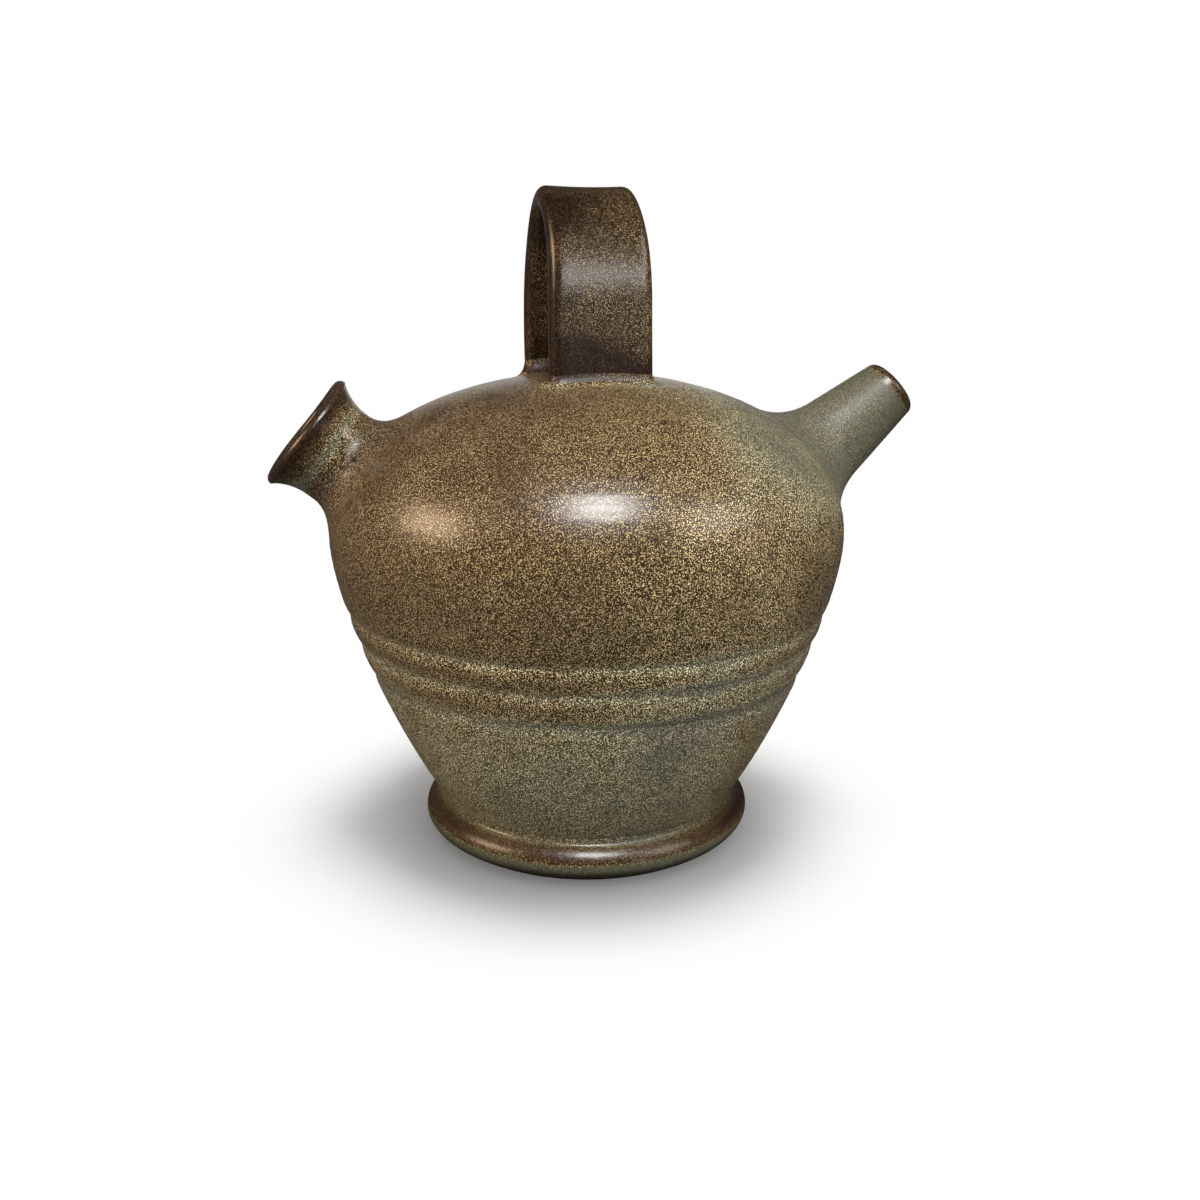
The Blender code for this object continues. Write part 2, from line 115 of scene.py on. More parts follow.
# %% Swell of the wall
THROWING_LINES = (90.3, 79.5, 67.2)
LINE_DEPTH = 1.1
LINE_SPREAD = 5.0


def throwing_lines(height, angle):
    """Depth of the throwing lines: at each line the depth times the square of one less the distance over
    the spread, with the tip of the V rounded and each line wandering a little in height and depth."""
    depth = 0.0
    for number, line in enumerate(THROWING_LINES):
        middle = line + 0.3 * np.sin(angle + 2.1 * number) + 0.15 * np.sin(3 * angle + number)
        away = np.sqrt((height - middle) ** 2 + 0.3**2) / LINE_SPREAD
        pressed = LINE_DEPTH * (1 + 0.15 * np.sin(2 * angle + 1.3 * number))
        depth = depth + pressed * np.clip(1 - away, 0, None) ** 2
    return depth


def swell(s, angle):
    """How far the wall stands off its outline, in mm: two slow waves round the wheel and faint finger
    rings up the wall, all dying out at the waist and the crown, less the throwing lines."""
    radius, height = np.moveaxis(on_outline(s)[0], -1, 0)
    waves = 0.16 * np.cos(2 * angle + 0.6 + height / 70) + 0.10 * np.cos(3 * angle - 1.2 - height / 40)
    rings = 0.035 * np.cos(height / 0.62 + angle) * np.cos(height / 9.0 + 2 * angle)
    calm = np.clip((height - 15) / 12, 0, 1) * np.clip(radius / 30, 0, 1)
    return (waves + rings) * calm - throwing_lines(height, angle)


def body_point(s, angle):
    """The outline turned to an angle about the wheel's axis and moved along its normal by the swell."""
    point, normal = on_outline(s)
    radius, height = np.moveaxis(point + normal * swell(s, angle)[..., None], -1, 0)
    return np.stack([radius * np.cos(angle), radius * np.sin(angle), height], axis=-1)


def body_normal(s, angle):
    """The outline's normal turned to an angle about the wheel's axis."""
    radial, upward = np.moveaxis(on_outline(s)[1], -1, 0)
    return np.stack([radial * np.cos(angle), radial * np.sin(angle), upward], axis=-1)


def over_wall(points):
    """Distance along the outline, angle, and height over the thrown wall: the nearest entry of the
    outline's table in the plane through the wheel's axis, then a step along its tangent."""
    turned = np.stack([np.hypot(points[..., 0], points[..., 1]), points[..., 2]], axis=-1)
    angle = np.arctan2(points[..., 1], points[..., 0])
    nearest = ((turned[..., None, :] - outline) ** 2).sum(-1).argmin(-1)
    step = turned - outline[nearest]
    s = along[nearest] + (step * heading[nearest]).sum(-1)
    return s, angle, (step * outward[nearest]).sum(-1) - swell(s, angle)


# %% [markdown]
# ## From a grid of points to a mesh
#
# Every piece is a grid of points: its columns run round, and its rows either run from pole to pole or
# close into a loop like the section of a ring. Blender's Screw modifier could turn a profile, but it
# can't add waves in the angle, so one helper joins neighbouring points into quads, closes poles with fans
# of triangles, and turns the faces outwards if the enclosed volume comes out negative.

# %% Mesh helper
MM = 0.001


def enclosed(points, faces):
    """Volume inside a closed mesh: a sixth of the sum of the triple products of its triangles' corners."""
    triangles = np.vstack([faces[:, [0, 1, 2]], faces[:, [0, 2, 3]]]) if faces.shape[1] == 4 else faces
    a, b, c = (points[triangles[:, k]] for k in range(3))
    return np.einsum("ij,ij->i", a, np.cross(b, c)).sum() / 6


def grid_piece(name, grid, poles=None):
    """A mesh object over a grid of points in mm. Without poles the rows join up into a loop. With them,
    the first and last row close in a fan on one point each."""
    rows, columns = grid.shape[:2]
    number = np.arange(rows * columns).reshape(rows, columns)
    upper = np.roll(number, -1, axis=0) if poles is None else number[1:]
    lower = number if poles is None else number[:-1]
    quads = np.stack([lower, np.roll(lower, -1, 1), np.roll(upper, -1, 1), upper], axis=-1).reshape(-1, 4)
    points = grid.reshape(-1, 3)
    fans = np.empty((0, 3), int)
    if poles is not None:
        points = np.vstack([points, poles])
        first, last = number[0], number[-1]
        south, north = np.full(columns, rows * columns), np.full(columns, rows * columns + 1)
        fans = np.vstack([
            np.stack([south, np.roll(first, -1), first], axis=-1),
            np.stack([last, np.roll(last, -1), north], axis=-1),
        ])
    volume = enclosed(points, quads) + enclosed(points, fans)
    if volume < 0:
        quads, fans = quads[:, ::-1], fans[:, ::-1]
    mesh = bpy.data.meshes.new(name)
    mesh.from_pydata((points * MM).tolist(), [], quads.tolist() + fans.tolist())
    mesh.shade_smooth()
    piece = bpy.data.objects.new(name, mesh)
    bpy.context.collection.objects.link(piece)
    print("%s: %d points, %.1f ml" % (name, len(points), abs(volume) / 1000))
    return piece


# %% [markdown]
# ## The body
#
# The body is one thrown form: a flat base, the wall, and the dome closed over at the crown. Even rows
# would either blur the throwing lines or waste faces on the smooth dome, so the rows sit under 0.4 mm
# apart across the lines, which makes them real relief, and further apart elsewhere.

# %% Outer skin of the body
WHEEL_COLUMNS = 240
LINE_ZONE = (61.0, 96.5)
BASE_BEVEL = (1.2, 0.8)
wheel = np.linspace(0, 2 * np.pi, WHEEL_COLUMNS, endpoint=False)[None, :]

belly_row = len(taper) + len(wall) - 2
belly_s = along[belly_row]
line_span = np.interp(LINE_ZONE, outline[:belly_row, 1], along[:belly_row])
rows_s = np.concatenate([
    np.linspace(0.0, along[len(taper) - 1], 8, endpoint=False),
    np.linspace(along[len(taper) - 1], line_span[0], 40, endpoint=False),
    np.linspace(line_span[0], line_span[1], 104, endpoint=False),
    np.linspace(line_span[1], belly_s, 18, endpoint=False),
    np.linspace(belly_s, along[-1] - 0.8, 92),
])[:, None]

wall_grid = body_point(rows_s, wheel)
base_radii = np.linspace(4.0, BASE_RADIUS - BASE_BEVEL[0], 12)[:, None]
base_grid = np.stack([base_radii * np.cos(wheel), base_radii * np.sin(wheel), 0 * base_radii * wheel], -1)
wall_grid[0, :, 2] = BASE_BEVEL[1]
body = grid_piece("jug_body", np.vstack([base_grid, wall_grid]), poles=[(0, 0, 0), (0, 0, CROWN[1])])

# %% [markdown]
# ## The chamber
#
# Inside, the belly is one open space that holds the water. Solidify could give the wall its thickness,
# but it would print the throwing lines through to the inside, and the rib pressed them in outside alone.
# So the chamber is a smooth form of its own, 6 mm inside the outline, with a thicker floor, and it is
# taken out of the body further down.

# %% Chamber inside the body
WALL, BASE_THICKNESS = 6.0, 8.0
FLAT_RADIUS = 38.0
chamber_s = np.linspace(np.interp(22.0, outline[:, 1], along), along[-1] - 2.5, 70)
inner_point, inner_normal = on_outline(chamber_s)
inner_line = inner_point - WALL * inner_normal
flat_edge = (FLAT_RADIUS, BASE_THICKNESS)
floor_cove = bezier([flat_edge, (47.0, BASE_THICKNESS), inner_line[0] - (3.0, 5.0), inner_line[0]], 8)[:-1]
flat_floor = np.linspace((6.0, BASE_THICKNESS), flat_edge, 5, endpoint=False)
inner_line = np.vstack([flat_floor, floor_cove, inner_line])
chamber_turn = wheel[:, ::2]
chamber_grid = np.stack([
    inner_line[:, :1] * np.cos(chamber_turn), inner_line[:, :1] * np.sin(chamber_turn),
    inner_line[:, 1:] + 0 * chamber_turn,
], axis=-1)
chamber = grid_piece("chamber", chamber_grid, poles=[(0, 0, BASE_THICKNESS), (0, 0, CROWN[1] - WALL)])


# %% [markdown]
# ## Mouth and spout
#
# Both were thrown separately and set into holes in the shoulder, each on its own axis rising at about 39
# degrees. An upright tube could be tilted as an object, but then its place wouldn't be in its mesh. So a
# tube is worked out as heights, angles and radii, and carried into place by its axis and two directions
# across it.


# %% Axes of the two tubes
class Tube:
    """A turned tube on the shoulder: its axis, two directions across it, and the point where the axis
    leaves the thrown wall."""

    def __init__(self, side, elevation, crossing):
        rise = np.radians(elevation)
        self.axis = np.array([side * np.cos(rise), 0.0, np.sin(rise)])
        self.across = np.array([0.0, 1.0, 0.0])
        self.upright = np.cross(self.across, self.axis)
        steps = np.linspace(90.0, 130.0, 4001)[:, None]
        line = np.array([0.0, 0.0, crossing]) + steps * self.axis
        self.root = line[np.abs(over_wall(line)[2]).argmin()]

    def point(self, height, angle, radius):
        """The point at a height along the axis, an angle about it and a distance from it."""
        spoke = np.cos(angle)[..., None] * self.upright + np.sin(angle)[..., None] * self.across
        return self.root + np.asarray(height)[..., None] * self.axis + np.asarray(radius)[..., None] * spoke


mouth_tube = Tube(-1, 39.0, BELLY[1] - 43.3)
spout_tube = Tube(1, 39.3, BELLY[1] - 46.2)
print("mouth root", mouth_tube.root.round(1), "spout root", spout_tube.root.round(1))

# %% [markdown]
# ## The filling mouth
#
# The mouth is a short neck that flares to a rounded lip, wide enough to fill from a tap. One spline could
# trace its section, but the lip's roundness is what the eye catches, so it is a true half circle, with a
# Bezier curve up to it outside and another down into the bore. It is slightly oval, as a lip gets when it
# is lifted off the wheel.

# %% Filling mouth
LIP_RADIUS, LIP_ROUND, LIP_HEIGHT = 22.1, 2.6, 21.0
NECK_RADIUS, NECK_HEIGHT, MOUTH_BORE = 17.8, 6.5, 13.0
ROOT_DEPTH = -8.0
NECK_ROWS, FLARE_ROWS = 14, 30
TUBE_COLUMNS = 144
turn = np.linspace(0, 2 * np.pi, TUBE_COLUMNS, endpoint=False)[None, :]

bead = LIP_HEIGHT - LIP_ROUND
throat = LIP_RADIUS - 2 * LIP_ROUND
half_turn = np.linspace(0, np.pi, 24)[:, None]
lip_arc = np.hstack([throat + LIP_ROUND * (1 + np.cos(half_turn)), bead + LIP_ROUND * np.sin(half_turn)])
mouth_line = np.vstack([
    np.linspace((NECK_RADIUS, ROOT_DEPTH), (NECK_RADIUS, NECK_HEIGHT), NECK_ROWS, endpoint=False),
    bezier([
        (NECK_RADIUS, NECK_HEIGHT), (NECK_RADIUS, 11.4), (LIP_RADIUS - 2.2, bead - 2.2), lip_arc[0],
    ], FLARE_ROWS),
    lip_arc[1:-1],
    bezier([
        lip_arc[-1], (throat - 1.2, bead - 2.2), (MOUTH_BORE, 11.4), (MOUTH_BORE, NECK_HEIGHT),
    ], FLARE_ROWS),
    np.linspace((MOUTH_BORE, NECK_HEIGHT), (MOUTH_BORE, ROOT_DEPTH), 12)[1:],
])


def mouth_sway(height, angle):
    """How far the mouth is out of round, as a share of its radius: a cosine of twice the angle that grows
    evenly from the root to the lip."""
    return 0.012 * np.clip(height / LIP_HEIGHT, 0, 1) * np.cos(2 * angle + 0.7)


mouth_radii = mouth_line[:, :1] * (1 + mouth_sway(mouth_line[:, 1:], turn))
lip_share = np.clip(mouth_line[:, 1:] / LIP_HEIGHT, 0, 1)
mouth_heights = mouth_line[:, 1:] + 0.25 * lip_share**2 * np.sin(3 * turn + 1)
mouth = grid_piece("mouth", mouth_tube.point(mouth_heights, turn + 0 * mouth_heights, mouth_radii))

# %% [markdown]
# ## The drinking spout
#
# The spout is a plain cone, drawn out so thin inside that it pours a stream one can drink from without
# touching it. A cone with a bevelled end would do for the outside, but the tip is rounded more outside
# than in at the bore, so the section goes up the cone, over two quarter circles and down the bore.

# %% Drinking spout
SPOUT_ROOT_RADIUS, SPOUT_TIP_RADIUS, SPOUT_LENGTH = 17.3, 11.2, 41.4
TIP_ROUND, BORE_ROUND, TIP_BORE, ROOT_BORE = 3.0, 1.2, 4.5, 9.5
SPOUT_SWAY = 0.008


def spout_radius(height):
    """Radius of the spout's outside: a straight taper from the root to the tip."""
    return SPOUT_ROOT_RADIUS + (SPOUT_TIP_RADIUS - SPOUT_ROOT_RADIUS) * height / SPOUT_LENGTH


quarter = np.linspace(0, np.pi / 2, 14)[:, None]
tip_height = SPOUT_LENGTH - TIP_ROUND
tip_edge = spout_radius(tip_height) - TIP_ROUND
cone_heights = np.linspace(ROOT_DEPTH, tip_height, 60)[:-1, None]
bore_heights = np.linspace(SPOUT_LENGTH - BORE_ROUND, ROOT_DEPTH, 40)[1:, None]
spout_line = np.vstack([
    np.hstack([spout_radius(cone_heights), cone_heights]),
    np.hstack([tip_edge + TIP_ROUND * np.cos(quarter), tip_height + TIP_ROUND * np.sin(quarter)]),
    np.hstack([
        TIP_BORE + BORE_ROUND - BORE_ROUND * np.sin(quarter),
        SPOUT_LENGTH - BORE_ROUND + BORE_ROUND * np.cos(quarter),
    ]),
    np.hstack([np.interp(bore_heights, [0.0, tip_height], [ROOT_BORE, TIP_BORE]), bore_heights]),
])
spout_radii = spout_line[:, :1] * (1 + SPOUT_SWAY * np.cos(2 * turn + spout_line[:, 1:] / 20))
spout_heights = spout_line[:, 1:] + 0 * turn
spout = grid_piece("spout", spout_tube.point(spout_heights, turn + 0 * spout_heights, spout_radii))


# %% [markdown]
# ## Holes through the shoulder
#
# The mouth and the spout only work if the wall is open behind them. Each hole is cut with a plain
# cylinder that is wider than the bore and narrower than the tube, so that its edge stays hidden inside
# the tube's own wall. The chamber is taken out in the same way, with Blender's exact Boolean.


# %% Hollow the body and cut the holes
MOUTH_HOLE, SPOUT_HOLE = 15.4, 12.8
DRILL_ENDS = np.array([-30.0, 6.0])


def drill(name, tube, radius):
    """A cylinder along a tube's axis, from inside the chamber to just outside the wall."""
    heights = np.linspace(*DRILL_ENDS, 3)[:, None] + 0 * turn
    ends = tube.point(DRILL_ENDS, np.zeros(2), np.zeros(2))
    return grid_piece(name, tube.point(heights, turn + 0 * heights, radius + 0 * heights), poles=ends)


cutters = [
    chamber, drill("mouth_hole", mouth_tube, MOUTH_HOLE), drill("spout_hole", spout_tube, SPOUT_HOLE),
]
for cutter in cutters:
    hollow = body.modifiers.new(cutter.name, "BOOLEAN")
    hollow.operation, hollow.solver, hollow.object = "DIFFERENCE", "EXACT", cutter
body.data = bpy.data.meshes.new_from_object(body.evaluated_get(bpy.context.evaluated_depsgraph_get()))
body.modifiers.clear()
for cutter in cutters:
    bpy.data.objects.remove(cutter)
body.data.shade_smooth()
print("hollow body: %d faces" % len(body.data.polygons))

# %% [markdown]
# ## The foot
#
# The foot is a roll of clay round the base. A finger has smoothed its top up into the wall as a hollow
# cove, where the glaze pools, and below the roll it tucks under to a narrow ring that stands on the table.
# A torus could stand for it, but it has no cove and no tuck, so the foot's section is one closed loop of
# Bezier curves and short straight lines. It is turned with a slight waver, because a hand-rolled foot is
# never quite even. The waver dies out up the cove, so that the cove leaves the wall without a step.

# %% Foot ring
LEDGE, BULGE, GROUND = np.array([58.4, 14.2]), (63.1, 7.5), (55.6, 0.0)
COVE_HEIGHT, SINK = 17.4, 0.06
wall_point, wall_normal = on_outline(np.interp(COVE_HEIGHT, outline[:, 1], along))
cove_top = wall_point - SINK * wall_normal
down_wall = np.array([wall_normal[1], -wall_normal[0]])
foot_line = np.vstack([
    np.linspace((51.6, 1.6), (53.0, 0.0), 4, endpoint=False),
    np.linspace((53.0, 0.0), GROUND, 5, endpoint=False),
    bezier([GROUND, (58.1, 1.9), (63.1, 3.75), BULGE], 26)[:-1],
    bezier([BULGE, (63.1, 11.2), LEDGE + (1.45, -0.68), LEDGE], 22)[:-1],
    bezier([LEDGE, LEDGE + (-1.18, 0.55), cove_top + 1.3 * down_wall, cove_top], 18),
    np.linspace((55.6, 16.4), (51.6, 3.0), 6),
])
loose = np.clip((16.0 - foot_line[:, 1:]) / 6.0, 0, 1)
foot_waver = 1 + loose * (0.0022 * np.cos(2 * wheel + 0.4) + 0.0012 * np.cos(5 * wheel))
foot_grid = np.stack([
    foot_line[:, :1] * foot_waver * np.cos(wheel), foot_line[:, :1] * foot_waver * np.sin(wheel),
    foot_line[:, 1:] * (1 + 0.012 * loose * np.cos(3 * wheel + 1)),
], axis=-1)
foot = grid_piece("foot", foot_grid)

# %% [markdown]
# ## The strap handle
#
# The handle is a pulled strap: a flat section, round at its edges and a little hollow along the middle,
# carried up a straight leg, over an arch and down again. A curve with a bevel could sweep it, but the
# strap narrows and leans as it rises, so the section is placed row by row along the path.

# %% Handle
STRAP_WIDTH, STRAP_CREST_WIDTH, STRAP_THICKNESS, STRAP_ROUND = 36.5, 33.5, 8.5, 3.6
HALF_SPAN, ARCH_RISE, STRAP_TOP, STRAP_TURN = 21.25, 35.0, 238.9, np.radians(4.0)
STRAP_FOOT, TAPER_START, STRAP_LEAN, STRAP_HOLLOW = 169.8, CROWN[1] + 4.5, 1.3, 0.35


def strap_section(width, thickness, edge, steps):
    """A rounded rectangle as points in order round it: four quarter circles, one at each corner, with
    evenly spaced points on the straight faces between them, more on the broad ones."""
    arc = np.linspace(0, np.pi / 2, steps)[:, None]
    x, y = width / 2 - edge, thickness / 2 - edge
    corners = [(x, y, 0.0), (-x, y, 0.5), (-x, -y, 1.0), (x, -y, 1.5)]
    arcs = [
        np.hstack([cx + edge * np.cos(arc + np.pi * start), cy + edge * np.sin(arc + np.pi * start)])
        for cx, cy, start in corners
    ]
    faces = [np.linspace(arcs[k][-1], arcs[k - 3][0], 3 if k % 2 else 18)[1:-1] for k in range(4)]
    return np.vstack([part for pair in zip(arcs, faces) for part in pair])


section = strap_section(STRAP_WIDTH, STRAP_THICKNESS, STRAP_ROUND, 10)
spring = STRAP_TOP - STRAP_THICKNESS / 2 - ARCH_RISE
arch = np.linspace(0, np.pi, 90)
leg = np.linspace(STRAP_FOOT, spring, 40, endpoint=False)
path = np.vstack([
    np.stack([0 * leg - HALF_SPAN, leg], axis=-1),
    np.stack([-HALF_SPAN * np.cos(arch), spring + ARCH_RISE * np.sin(arch)], axis=-1),
    np.stack([0 * leg + HALF_SPAN, leg[::-1]], axis=-1),
])
bend = np.gradient(path, axis=0)
bend /= np.linalg.norm(bend, axis=1)[:, None]
strap_out = np.stack([-bend[:, 1], bend[:, 0]], axis=1)


def strap_grid(section, path, strap_out):
    """The section set square on every point of the path: narrowed and shifted towards the mouth with
    the square of the height, hollowed along the middle of both faces by a parabola, and with two sine
    waves in its edges."""
    share = np.clip((path[:, 1:] - TAPER_START) / (STRAP_TOP - TAPER_START), 0, 1) ** 2
    width = section[None, :, 0] * (1 - (1 - STRAP_CREST_WIDTH / STRAP_WIDTH) * share) - STRAP_LEAN * share
    middle = np.clip(1 - (2.6 * section[:, 0] / STRAP_WIDTH) ** 2, 0, 1)
    lift = section[:, 1] - STRAP_HOLLOW * np.sign(section[:, 1]) * middle
    depth = path[:, :1] + strap_out[:, :1] * lift
    height = path[:, 1:] + strap_out[:, 1:] * lift
    width = width + 0.25 * np.sin(height / 11.0) + 0.15 * np.sin(depth / 6.0)
    x = width * np.cos(STRAP_TURN) - depth * np.sin(STRAP_TURN)
    y = width * np.sin(STRAP_TURN) + depth * np.cos(STRAP_TURN)
    return np.stack([x, y, height], axis=-1)


strap = strap_grid(section, path, strap_out)
handle = grid_piece("strap_handle", strap, poles=[strap[0].mean(0), strap[-1].mean(0)])


# %% [markdown]
# ## Luted joints
#
# Mouth, spout and strap are stuck to the body with a coil of soft clay, smoothed into the corner with a
# finger. Seen close, the joint is a hollow fillet that leaves both surfaces without a step. For every line
# up the side of a tube, the helper finds where it meets the wall, goes a little up the tube and a little
# out over the shoulder, and joins the two with a cubic Hermite curve that leaves each surface along its
# own slope. The back of each coil lies inside the clay.


# %% Luting helper
PULL = 1.15


def unit(vectors):
    """Vectors scaled to length one."""
    return vectors / np.linalg.norm(vectors, axis=-1, keepdims=True)


def meet_wall(side, low, high):
    """Height at which each line up a tube's side meets the thrown wall, by halving the stretch between
    a height inside the wall and one outside it."""
    for _ in range(30):
        middle = (low + high) / 2
        outside = over_wall(side(middle))[2] > 0
        low, high = np.where(outside, low, middle), np.where(outside, middle, high)
    return (low + high) / 2


def luting(name, side, low, high, rise, reach):
    """A coil round a root. Each section is a Hermite curve from rise up the side to reach out over the
    wall, with its ends sunk just under both surfaces, closed behind through the clay."""
    foot_height = meet_wall(side, low, high)
    joint, top = side(foot_height), side(foot_height + rise)
    down = unit(side(foot_height + rise - 0.1) - top)
    around = np.roll(joint, -1, axis=0) - np.roll(joint, 1, axis=0)
    away = unit(np.cross(around, down))
    away = away * np.sign((away * (joint - joint.mean(0))).sum(-1, keepdims=True))
    s, angle, _ = over_wall(joint)
    normal = body_normal(s, angle)
    over = unit(away - (away * normal).sum(-1, keepdims=True) * normal)
    s, angle, _ = over_wall(joint + over * np.asarray(reach)[..., None])
    skirt, skirt_normal = body_point(s, angle), body_normal(s, angle)
    flat = unit(over - (over * skirt_normal).sum(-1, keepdims=True) * skirt_normal)
    pull = PULL * np.linalg.norm(skirt - top, axis=-1, keepdims=True)
    u = np.linspace(0, 1, 26)[:, None, None]
    curve = (
        (2 * u**3 - 3 * u**2 + 1) * top + (u**3 - 2 * u**2 + u) * pull * down
        + (3 * u**2 - 2 * u**3) * skirt + (u**3 - u**2) * pull * flat
    )
    curve = curve - SINK * ((1 - u) ** 10 * away + u**10 * skirt_normal)
    back = np.stack([skirt - skirt_normal, joint - 1.5 * normal - away, top - away])
    return grid_piece(name, np.vstack([curve, back])), joint


# %% Lutings of the mouth and the spout
ROUND_LINES = 128
around_tube = np.linspace(0, 2 * np.pi, ROUND_LINES, endpoint=False)
up_outside = slice(NECK_ROWS + FLARE_ROWS)


def mouth_side(height):
    """Points on the outside of the mouth's neck at a height on each of the lines round it."""
    radius = np.interp(height, mouth_line[up_outside, 1], mouth_line[up_outside, 0])
    return mouth_tube.point(height, around_tube, radius * (1 + mouth_sway(height, around_tube)))


def spout_side(height):
    """Points on the outside of the spout's cone at a height on each of the lines round it."""
    radius = spout_radius(height) * (1 + SPOUT_SWAY * np.cos(2 * around_tube + height / 20))
    return spout_tube.point(height, around_tube, radius)


low, high = np.full(ROUND_LINES, -30.0), np.full(ROUND_LINES, 12.0)
mouth_reach = 11.0 + 5.0 * np.clip(np.cos(around_tube), 0, 1)
mouth_coil, _ = luting("mouth_coil", mouth_side, low, high, 8.0, mouth_reach)
spout_coil, spout_joint = luting("spout_coil", spout_side, low, high, 15.0, 14.0)


# %% Lutings of the handle
def leg_side(sign):
    """A function that gives the points on the outside of one leg of the strap: a row of the strap's grid
    for each height, and from each row the one point of the section that the height belongs to."""
    def side(height):
        row = np.stack([np.full_like(height, sign * HALF_SPAN), height], axis=-1)
        lift = np.stack([np.full_like(height, sign), 0 * height], axis=-1)
        grid = strap_grid(section, row, lift)
        return grid[np.arange(len(section)), np.arange(len(section))]
    return side


low, high = np.full(len(section), 150.0), np.full(len(section), 190.0)
front_coil, front_joint = luting("front_coil", leg_side(-1), low, high, 4.0, 3.6)
rear_coil, rear_joint = luting("rear_coil", leg_side(1), low, high, 6.0, 4.5)

# %% [markdown]
# ## How thickly the glaze lies
#
# One glaze covers the jug, and most of its colour comes from its thickness. Where it runs off an edge it
# breaks to a dark reddish brown, at a middling depth it is golden brown with cream specks, and where it
# pools it turns a milky grey-green. Painting each piece apart would show a seam at every joint, so the
# thickness is one function of the place in space, kept on every vertex as an attribute. On the strap,
# thinner glaze also paints shade: on its top and just above where it meets the crown.


# %% Soft steps and pools
def ease(value, start, end):
    """0 before start, 1 after end, and 3t^2 - 2t^3 between them."""
    t = np.clip((value - start) / (end - start), 0, 1)
    return 3 * t**2 - 2 * t**3


def bell(points, joint, width):
    """1 on a joint's line, falling with the square of the distance from it as a bell curve."""
    points, joint = points.astype(np.float32), joint[::2].astype(np.float32)
    away = ((points[:, None, :] - joint) ** 2).sum(-1).min(1)
    return np.exp(-away / width**2)


NECK_LINE = mouth_tube.point(
    np.full(ROUND_LINES, 10.5), around_tube, np.full(ROUND_LINES, 18.0),
)

# %% Glaze thickness
WAVES, WAVE_LENGTHS = 16, (30.0, 120.0)
COVE_LINE, COVE_SPREAD = (57.3, 15.7), 2.2
rng = np.random.default_rng(11)
wave_vectors = unit(rng.normal(size=(WAVES, 3))) * (2 * np.pi / rng.uniform(*WAVE_LENGTHS, WAVES))[:, None]
wave_starts = rng.uniform(0, 2 * np.pi, WAVES)


def glaze_thickness_and_shade(points):
    """Thickness from 0 to 1, as a sum of soft steps, waves and bells. It is thin on the mouth's side,
    thicker to the right of the front, over the spout and down the lower wall, and thinner again on the right
    flank. Slow cosine waves run through it, and it pools along the joints, the mouth's neck, the throwing
    lines and the foot's cove. Just above the strap's joints it is thinned, as painted shade where the strap
    meets the crown."""
    x, y, z = points.T
    radius = np.hypot(x, y)
    thickness = 0.30 + 0.18 * ease(x, -35, 30) + 0.05 * ease(x, 30, 60) + 0.28 * ease(z, 99, 48)
    thickness += (0.34 * ease(x, 5, 60) - 0.11) * ease(z, 125, 150)
    thickness += 0.22 * ease(x, 60, 105) * ease(z, 95, 140) - 0.10 * ease(x, -62, -85) * ease(z, 118, 138)
    thickness -= 0.20 * ease(x, 40, 72) * ease(z, 135, 110) * ease(z, 55, 80)
    thickness -= 0.30 * ease(x, 15, 55) * ease(z, 80, 45)
    thickness += 0.08 * ease(x, 10, -40) * ease(z, 80, 45)
    thickness += 0.12 * np.cos(points @ wave_vectors.T + wave_starts).mean(1)
    lines = np.clip(throwing_lines(z, np.arctan2(y, x)) / LINE_DEPTH, 0, 1)
    thickness += 0.30 * lines**0.6 * ease(radius, 60, 70)
    from_cove = (radius - COVE_LINE[0]) ** 2 + (z - COVE_LINE[1]) ** 2
    thickness += 0.16 * np.exp(-from_cove / COVE_SPREAD**2)
    # The strap's joints pool below 172.4 mm, and just above them the strap is thinned: painted shade where
    # the strap meets the crown.
    root_pool_and_shade = 0.45 - 0.75 * ease(z, 172.4, 174.4)
    for joint, width, pool in [
        (NECK_LINE, 4.0, 0.62), (spout_joint, 14.0, 0.20),
        (front_joint, 5.0, root_pool_and_shade), (rear_joint, 5.0, root_pool_and_shade),
    ]:
        thickness += pool * bell(points, joint, width)
    return thickness


# %% [markdown]
# ## Where the specks grew
#
# The cream specks are crystals that grow while the kiln cools. Thin parts, such as the mouth's flare, the
# spout's tip and the foot, cool fast and keep few, and so does thick glaze in the pools. The ramps of the
# material could fade the specks by thickness, but then thin edges and pools couldn't be told apart, so their
# share is a second attribute. Each piece also says where its own edges run thin, and the strap where it is
# thinned as painted shade.


# %% Speck share
def speck_share(points):
    """How fully the specks grew, 1 on the belly, less a soft step or a bell for each place that has fewer:
    the strap, the mouth's flare, the foot, the crown's spout side, two of the pools and the spout."""
    x, _, z = points.T
    share = 1 - 0.08 * ease(z, 172, 177) - 0.32 * ease(x, -88, -100) - 0.70 * ease(z, 18, 14.5)
    share -= 0.20 * ease(x, 0, 45) * ease(z, 125, 150)
    share -= 0.35 * bell(points, NECK_LINE, 5.0) + 0.30 * bell(points, front_joint, 4.0)
    return share - 0.30 * ease(x, 88, 102) - 0.35 * ease(x, 106, 118)


# %% Coat the pieces
def coat(piece, thin=0.0):
    """Writes the glaze's thickness on a piece's vertices, less an array of how far its edges run thin, which
    on the strap also thins its top and its legs as painted shade, and the share of specks."""
    points = np.empty(len(piece.data.vertices) * 3, np.float32)
    piece.data.vertices.foreach_get("co", points)
    points = points.reshape(-1, 3) / MM
    thickness = glaze_thickness_and_shade(points) - thin
    for name, value in [("glaze_thickness_and_shade", thickness), ("speck_share", speck_share(points))]:
        layer = piece.data.attributes.new(name, "FLOAT", "POINT")
        layer.data.foreach_set("value", np.clip(value, 0, 1).astype(np.float32))
    print("%s: glaze %.2f to %.2f" % (piece.name, thickness.min(), thickness.max()))


